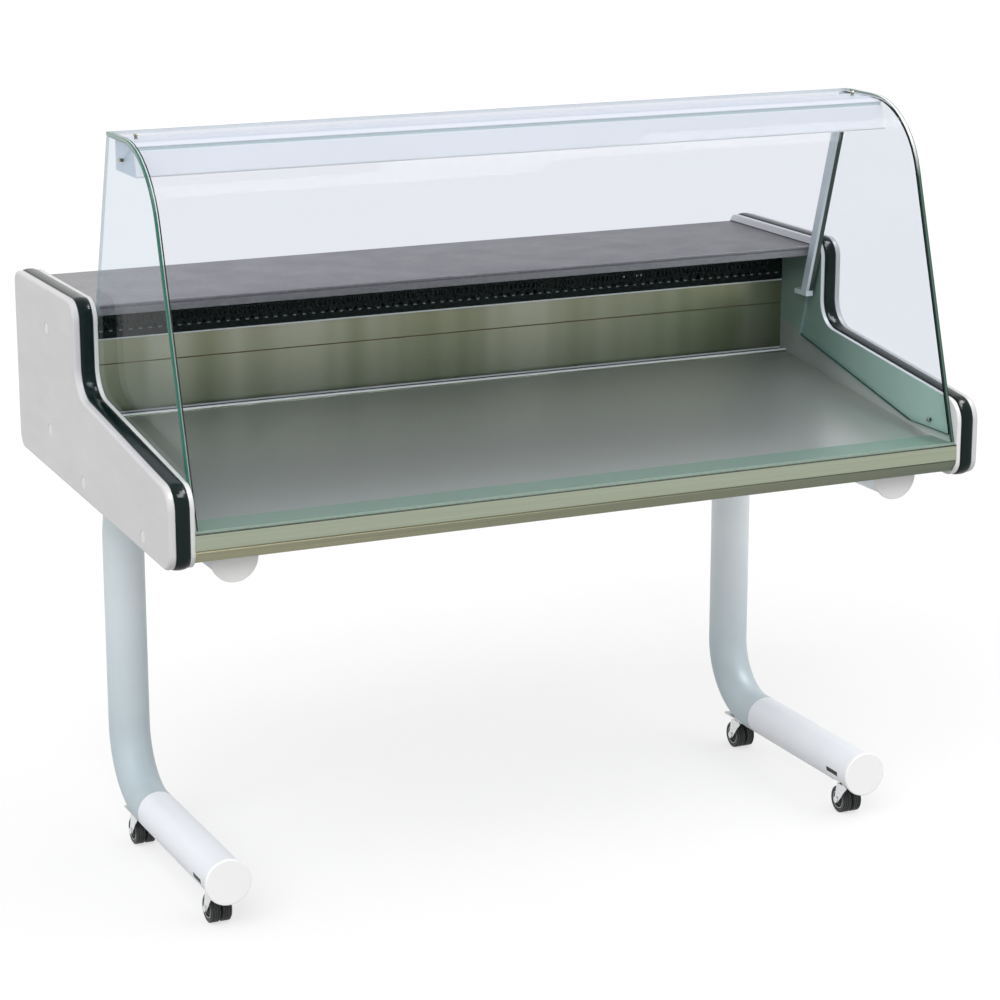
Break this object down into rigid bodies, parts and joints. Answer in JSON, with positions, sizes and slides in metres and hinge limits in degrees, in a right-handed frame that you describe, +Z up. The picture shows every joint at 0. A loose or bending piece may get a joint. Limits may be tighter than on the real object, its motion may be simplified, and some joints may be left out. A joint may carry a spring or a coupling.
{
  "type": "mobile salad bar",
  "caption": "Refrigerated salad display counter with a bent-glass canopy and worktop, on two C-shaped tube legs with twin-wheel swivel casters.",
  "frame": {"origin": "on the floor, under the centre of the counter's length and depth", "axes": "+X along the counter, to the right as a guest sees it; +Y from the guest's side to the server's side; +Z up"},
  "size_m": [1.5, 0.83, 1.3216],
  "materials": {
    "panel": "fine satin moulded plastic",
    "bumper": "glossy green-black rubber",
    "trim": "satin moulded plastic",
    "zinc": "zinc plated",
    "rail": "greenish anodised",
    "glass": "clear float glass with green edges",
    "housing": "white-blue powder coat",
    "lamp": "opal glass tube",
    "white_plastic": "satin",
    "worktop": "laminated board, satin grey-brown",
    "stainless": "brushed stainless",
    "grille": "black, perforated",
    "galvanised": "galvanised and painted",
    "foam": "rigid foam",
    "black_plastic": "satin",
    "switch": "green rocker",
    "black_paint": "black stove enamel",
    "fins": "plain fins",
    "copper": "copper pipe",
    "leg": "light silver lacquer",
    "cap": "white moulded plastic",
    "fork": "bright zinc",
    "tyre": "grooved black rubber"
  },
  "bodies": {
    "counter": {"left_outer_panel": "panel", "right_outer_panel": "panel", "left_bumper": "bumper", "right_bumper": "bumper", "left_inner_panel": "trim", "right_inner_panel": "trim", "panel_bolts": "zinc", "bolt_caps": "trim", "front_rail": "rail", "glass_seal": "bumper", "front_glass": "glass", "left_side_glass": "glass", "right_side_glass": "glass", "canopy_screws": "zinc", "lamp_housing": "housing", "housing_brackets": "housing", "lamp_tube": "lamp", "lamp_holders": "white_plastic", "canopy_post": "housing", "post_bracket": "housing", "worktop": "worktop", "deck": "stainless", "back_liner": "stainless", "air_grille": "grille", "case_tray": "galvanised", "foam_insulation": "foam", "rear_cover": "galvanised", "control_plate": "black_plastic", "power_inlet": "black_plastic", "compressor": "black_paint", "condenser": "fins", "evaporator": "fins", "fan_motors": "zinc", "refrigerant_pipes": "copper", "drain_spigot": "white_plastic", "left_leg": "leg", "right_leg": "leg", "tube_caps": "cap", "arm_saddles": "leg", "saddle_bolts": "zinc", "caster_plates": "zinc"},
    "front_left_caster": {"front_left_fork": "fork"},
    "front_left_outer_wheel_body": {"front_left_outer_wheel": "tyre"},
    "front_left_inner_wheel_body": {"front_left_inner_wheel": "tyre"},
    "front_right_caster": {"front_right_fork": "fork"},
    "front_right_outer_wheel_body": {"front_right_outer_wheel": "tyre"},
    "front_right_inner_wheel_body": {"front_right_inner_wheel": "tyre"},
    "rear_left_caster": {"rear_left_fork": "fork"},
    "rear_left_outer_wheel_body": {"rear_left_outer_wheel": "tyre"},
    "rear_left_inner_wheel_body": {"rear_left_inner_wheel": "tyre"},
    "rear_right_caster": {"rear_right_fork": "fork"},
    "rear_right_outer_wheel_body": {"rear_right_outer_wheel": "tyre"},
    "rear_right_inner_wheel_body": {"rear_right_inner_wheel": "tyre"},
    "thermostat_knob_body": {"thermostat_knob": "white_plastic"},
    "main_switch_body": {"main_switch": "switch"},
    "lamp_switch_body": {"lamp_switch": "black_plastic"},
    "condenser_fan_body": {"condenser_fan": "black_plastic"},
    "evaporator_fan_left_body": {"evaporator_fan_left": "black_plastic"},
    "evaporator_fan_right_body": {"evaporator_fan_right": "black_plastic"}
  },
  "joints": [
    {"name": "front_left_swivel", "type": "hinge", "parent": "counter", "child": "front_left_caster", "pos_m": [-0.62, -0.239, 0.067], "axis": [0, 0, 1], "continuous": true},
    {"name": "front_left_outer_roll", "type": "hinge", "parent": "front_left_caster", "child": "front_left_outer_wheel_body", "pos_m": [-0.63, -0.223, 0.025], "axis": [1, 0, 0], "continuous": true},
    {"name": "front_left_inner_roll", "type": "hinge", "parent": "front_left_caster", "child": "front_left_inner_wheel_body", "pos_m": [-0.61, -0.223, 0.025], "axis": [1, 0, 0], "continuous": true},
    {"name": "front_right_swivel", "type": "hinge", "parent": "counter", "child": "front_right_caster", "pos_m": [0.62, -0.239, 0.067], "axis": [0, 0, 1], "continuous": true},
    {"name": "front_right_outer_roll", "type": "hinge", "parent": "front_right_caster", "child": "front_right_outer_wheel_body", "pos_m": [0.63, -0.223, 0.025], "axis": [1, 0, 0], "continuous": true},
    {"name": "front_right_inner_roll", "type": "hinge", "parent": "front_right_caster", "child": "front_right_inner_wheel_body", "pos_m": [0.61, -0.223, 0.025], "axis": [1, 0, 0], "continuous": true},
    {"name": "rear_left_swivel", "type": "hinge", "parent": "counter", "child": "rear_left_caster", "pos_m": [-0.62, 0.161, 0.067], "axis": [0, 0, 1], "continuous": true},
    {"name": "rear_left_outer_roll", "type": "hinge", "parent": "rear_left_caster", "child": "rear_left_outer_wheel_body", "pos_m": [-0.63, 0.177, 0.025], "axis": [1, 0, 0], "continuous": true},
    {"name": "rear_left_inner_roll", "type": "hinge", "parent": "rear_left_caster", "child": "rear_left_inner_wheel_body", "pos_m": [-0.61, 0.177, 0.025], "axis": [1, 0, 0], "continuous": true},
    {"name": "rear_right_swivel", "type": "hinge", "parent": "counter", "child": "rear_right_caster", "pos_m": [0.62, 0.161, 0.067], "axis": [0, 0, 1], "continuous": true},
    {"name": "rear_right_outer_roll", "type": "hinge", "parent": "rear_right_caster", "child": "rear_right_outer_wheel_body", "pos_m": [0.63, 0.177, 0.025], "axis": [1, 0, 0], "continuous": true},
    {"name": "rear_right_inner_roll", "type": "hinge", "parent": "rear_right_caster", "child": "rear_right_inner_wheel_body", "pos_m": [0.61, 0.177, 0.025], "axis": [1, 0, 0], "continuous": true},
    {"name": "thermostat_turn", "type": "hinge", "parent": "counter", "child": "thermostat_knob_body", "pos_m": [0.414, 0.393, 0.929], "axis": [0, 1, 0], "range_deg": [0, 270]},
    {"name": "main_switch_rock", "type": "hinge", "parent": "counter", "child": "main_switch_body", "pos_m": [0.462, 0.394, 0.929], "axis": [1, 0, 0], "range_deg": [-14, 0]},
    {"name": "lamp_switch_rock", "type": "hinge", "parent": "counter", "child": "lamp_switch_body", "pos_m": [0.494, 0.394, 0.929], "axis": [1, 0, 0], "range_deg": [-14, 0]},
    {"name": "condenser_fan_spin", "type": "hinge", "parent": "counter", "child": "condenser_fan_body", "pos_m": [0.332, 0.302, 0.824], "axis": [1, 0, 0], "continuous": true},
    {"name": "evaporator_fan_left_spin", "type": "hinge", "parent": "counter", "child": "evaporator_fan_left_body", "pos_m": [-0.4699, 0.28293, 0.85], "axis": [0, 0, 1], "continuous": true},
    {"name": "evaporator_fan_right_spin", "type": "hinge", "parent": "counter", "child": "evaporator_fan_right_body", "pos_m": [-0.1199, 0.28293, 0.85], "axis": [0, 0, 1], "continuous": true}
  ]
}
